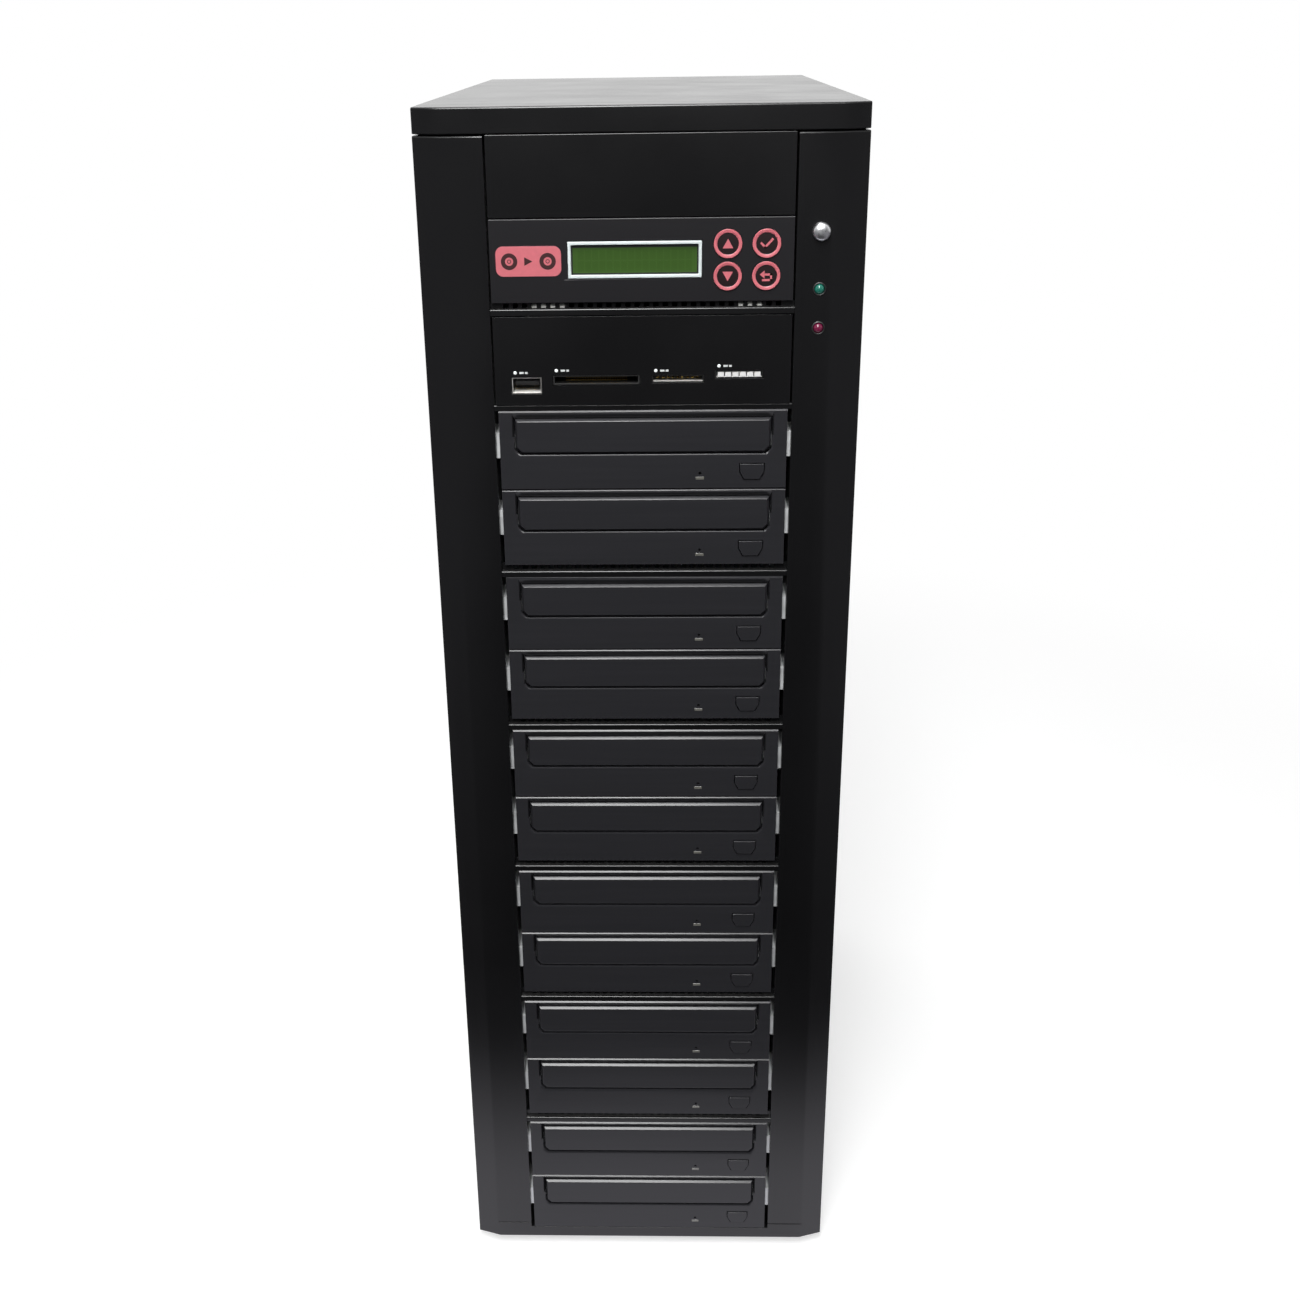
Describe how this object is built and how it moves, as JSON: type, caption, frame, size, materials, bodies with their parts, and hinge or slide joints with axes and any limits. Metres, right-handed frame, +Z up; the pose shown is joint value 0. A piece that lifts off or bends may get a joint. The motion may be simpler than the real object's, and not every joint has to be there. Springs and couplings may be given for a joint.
{
  "type": "disc duplicator tower",
  "caption": "Tall black steel tower with a stack of tray-loading optical drives in pairs, below a card reader panel and a controller panel with a small screen and push buttons.",
  "frame": {"origin": "on the floor, under the middle of the tower's overall length and width", "axes": "+X to the right seen from the front, the front faces -Y, +Z up"},
  "size_m": [0.221, 0.3968, 0.698],
  "materials": {
    "case_paint": "semi-gloss black powder coat on sheet steel",
    "front_plastic": "moulded black ABS with a fine satin grain",
    "panel_plastic": "black control panel overlay",
    "drive_plastic": "satin black drive front and tray",
    "drive_steel": "plain zinc-coated steel",
    "cage_steel": "plain zinc-coated steel",
    "drive_lamp": "unlit lens",
    "screen_rim": "white printed rim",
    "screen_glass": "green character display under clear cover",
    "circuit_board": "green solder mask",
    "key_plastic": "black key with a coral ring",
    "socket_steel": "plated sockets",
    "button_chrome": "chrome-plated push button",
    "moulded_black": "black moulded plastic",
    "lamp_green": "unlit green lens",
    "lamp_red": "unlit red lens",
    "foot_rubber": "matt",
    "screw_steel": "plated"
  },
  "bodies": {
    "case": {"back_panel": "case_paint", "base_pan": "case_paint", "bezel_cap": "front_plastic", "blank_cover": "front_plastic", "card_reader": "socket_steel", "case_fan_frames": "moulded_black", "controller_board": "circuit_board", "controller_panel": "panel_plastic", "drive_bezels": "drive_plastic", "drive_cage": "cage_steel", "drive_lamps": "drive_lamp", "drive_shells": "drive_steel", "feet": "foot_rubber", "front_bezel": "front_plastic", "green_lamp": "lamp_green", "mains_inlet": "moulded_black", "power_supply": "cage_steel", "power_switch": "moulded_black", "reader_panel": "front_plastic", "red_lamp": "lamp_red", "screen_frame": "screen_rim", "screen_window": "screen_glass", "screws": "screw_steel", "side_panel_left": "case_paint", "side_panel_right": "case_paint", "top_cover": "case_paint", "vent_strips": "front_plastic"},
    "tray_01": {"tray_01": "drive_plastic"},
    "tray_02": {"tray_02": "drive_plastic"},
    "tray_03": {"tray_03": "drive_plastic"},
    "tray_04": {"tray_04": "drive_plastic"},
    "tray_05": {"tray_05": "drive_plastic"},
    "tray_06": {"tray_06": "drive_plastic"},
    "tray_07": {"tray_07": "drive_plastic"},
    "tray_08": {"tray_08": "drive_plastic"},
    "tray_09": {"tray_09": "drive_plastic"},
    "tray_10": {"tray_10": "drive_plastic"},
    "tray_11": {"tray_11": "drive_plastic"},
    "tray_12": {"tray_12": "drive_plastic"},
    "eject_button_01": {"eject_button_01": "drive_plastic"},
    "eject_button_02": {"eject_button_02": "drive_plastic"},
    "eject_button_03": {"eject_button_03": "drive_plastic"},
    "eject_button_04": {"eject_button_04": "drive_plastic"},
    "eject_button_05": {"eject_button_05": "drive_plastic"},
    "eject_button_06": {"eject_button_06": "drive_plastic"},
    "eject_button_07": {"eject_button_07": "drive_plastic"},
    "eject_button_08": {"eject_button_08": "drive_plastic"},
    "eject_button_09": {"eject_button_09": "drive_plastic"},
    "eject_button_10": {"eject_button_10": "drive_plastic"},
    "eject_button_11": {"eject_button_11": "drive_plastic"},
    "eject_button_12": {"eject_button_12": "drive_plastic"},
    "up_button": {"up_button": "key_plastic"},
    "down_button": {"down_button": "key_plastic"},
    "ok_button": {"ok_button": "key_plastic"},
    "back_button": {"back_button": "key_plastic"},
    "power_button": {"power_button": "button_chrome"},
    "rocker_switch": {"rocker_switch": "moulded_black"},
    "upper_fan_rotor": {"upper_fan_rotor": "moulded_black"},
    "lower_fan_rotor": {"lower_fan_rotor": "moulded_black"},
    "supply_fan_rotor": {"supply_fan_rotor": "moulded_black"}
  },
  "joints": [
    {"name": "tray_01_slide", "type": "slide", "parent": "case", "child": "tray_01", "axis": [0, -1, 0], "range_m": [0, 0.13]},
    {"name": "tray_02_slide", "type": "slide", "parent": "case", "child": "tray_02", "axis": [0, -1, 0], "range_m": [0, 0.13]},
    {"name": "tray_03_slide", "type": "slide", "parent": "case", "child": "tray_03", "axis": [0, -1, 0], "range_m": [0, 0.13]},
    {"name": "tray_04_slide", "type": "slide", "parent": "case", "child": "tray_04", "axis": [0, -1, 0], "range_m": [0, 0.13]},
    {"name": "tray_05_slide", "type": "slide", "parent": "case", "child": "tray_05", "axis": [0, -1, 0], "range_m": [0, 0.13]},
    {"name": "tray_06_slide", "type": "slide", "parent": "case", "child": "tray_06", "axis": [0, -1, 0], "range_m": [0, 0.13]},
    {"name": "tray_07_slide", "type": "slide", "parent": "case", "child": "tray_07", "axis": [0, -1, 0], "range_m": [0, 0.13]},
    {"name": "tray_08_slide", "type": "slide", "parent": "case", "child": "tray_08", "axis": [0, -1, 0], "range_m": [0, 0.13]},
    {"name": "tray_09_slide", "type": "slide", "parent": "case", "child": "tray_09", "axis": [0, -1, 0], "range_m": [0, 0.13]},
    {"name": "tray_10_slide", "type": "slide", "parent": "case", "child": "tray_10", "axis": [0, -1, 0], "range_m": [0, 0.13]},
    {"name": "tray_11_slide", "type": "slide", "parent": "case", "child": "tray_11", "axis": [0, -1, 0], "range_m": [0, 0.13]},
    {"name": "tray_12_slide", "type": "slide", "parent": "case", "child": "tray_12", "axis": [0, -1, 0], "range_m": [0, 0.13]},
    {"name": "eject_01_press", "type": "slide", "parent": "case", "child": "eject_button_01", "axis": [0, 1, 0], "range_m": [0, 0.0008], "stiffness_N_per_m": 500},
    {"name": "eject_02_press", "type": "slide", "parent": "case", "child": "eject_button_02", "axis": [0, 1, 0], "range_m": [0, 0.0008], "stiffness_N_per_m": 500},
    {"name": "eject_03_press", "type": "slide", "parent": "case", "child": "eject_button_03", "axis": [0, 1, 0], "range_m": [0, 0.0008], "stiffness_N_per_m": 500},
    {"name": "eject_04_press", "type": "slide", "parent": "case", "child": "eject_button_04", "axis": [0, 1, 0], "range_m": [0, 0.0008], "stiffness_N_per_m": 500},
    {"name": "eject_05_press", "type": "slide", "parent": "case", "child": "eject_button_05", "axis": [0, 1, 0], "range_m": [0, 0.0008], "stiffness_N_per_m": 500},
    {"name": "eject_06_press", "type": "slide", "parent": "case", "child": "eject_button_06", "axis": [0, 1, 0], "range_m": [0, 0.0008], "stiffness_N_per_m": 500},
    {"name": "eject_07_press", "type": "slide", "parent": "case", "child": "eject_button_07", "axis": [0, 1, 0], "range_m": [0, 0.0008], "stiffness_N_per_m": 500},
    {"name": "eject_08_press", "type": "slide", "parent": "case", "child": "eject_button_08", "axis": [0, 1, 0], "range_m": [0, 0.0008], "stiffness_N_per_m": 500},
    {"name": "eject_09_press", "type": "slide", "parent": "case", "child": "eject_button_09", "axis": [0, 1, 0], "range_m": [0, 0.0008], "stiffness_N_per_m": 500},
    {"name": "eject_10_press", "type": "slide", "parent": "case", "child": "eject_button_10", "axis": [0, 1, 0], "range_m": [0, 0.0008], "stiffness_N_per_m": 500},
    {"name": "eject_11_press", "type": "slide", "parent": "case", "child": "eject_button_11", "axis": [0, 1, 0], "range_m": [0, 0.0008], "stiffness_N_per_m": 500},
    {"name": "eject_12_press", "type": "slide", "parent": "case", "child": "eject_button_12", "axis": [0, 1, 0], "range_m": [0, 0.0008], "stiffness_N_per_m": 500},
    {"name": "up_press", "type": "slide", "parent": "case", "child": "up_button", "axis": [0, 1, 0], "range_m": [0, 0.001], "stiffness_N_per_m": 600},
    {"name": "down_press", "type": "slide", "parent": "case", "child": "down_button", "axis": [0, 1, 0], "range_m": [0, 0.001], "stiffness_N_per_m": 600},
    {"name": "ok_press", "type": "slide", "parent": "case", "child": "ok_button", "axis": [0, 1, 0], "range_m": [0, 0.001], "stiffness_N_per_m": 600},
    {"name": "back_press", "type": "slide", "parent": "case", "child": "back_button", "axis": [0, 1, 0], "range_m": [0, 0.001], "stiffness_N_per_m": 600},
    {"name": "power_press", "type": "slide", "parent": "case", "child": "power_button", "axis": [0, 1, 0], "range_m": [0, 0.0016], "stiffness_N_per_m": 500},
    {"name": "rocker_tilt", "type": "hinge", "parent": "case", "child": "rocker_switch", "pos_m": [0.047, 0.192, 0.587], "axis": [1, 0, 0], "range_deg": [0, 16]},
    {"name": "upper_fan_spin", "type": "hinge", "parent": "case", "child": "upper_fan_rotor", "pos_m": [0, 0.18, 0.437], "axis": [0, 1, 0], "continuous": true},
    {"name": "lower_fan_spin", "type": "hinge", "parent": "case", "child": "lower_fan_rotor", "pos_m": [0, 0.18, 0.197], "axis": [0, 1, 0], "continuous": true},
    {"name": "supply_fan_spin", "type": "hinge", "parent": "case", "child": "supply_fan_rotor", "pos_m": [-0.03, 0.18, 0.607], "axis": [0, 1, 0], "continuous": true}
  ]
}
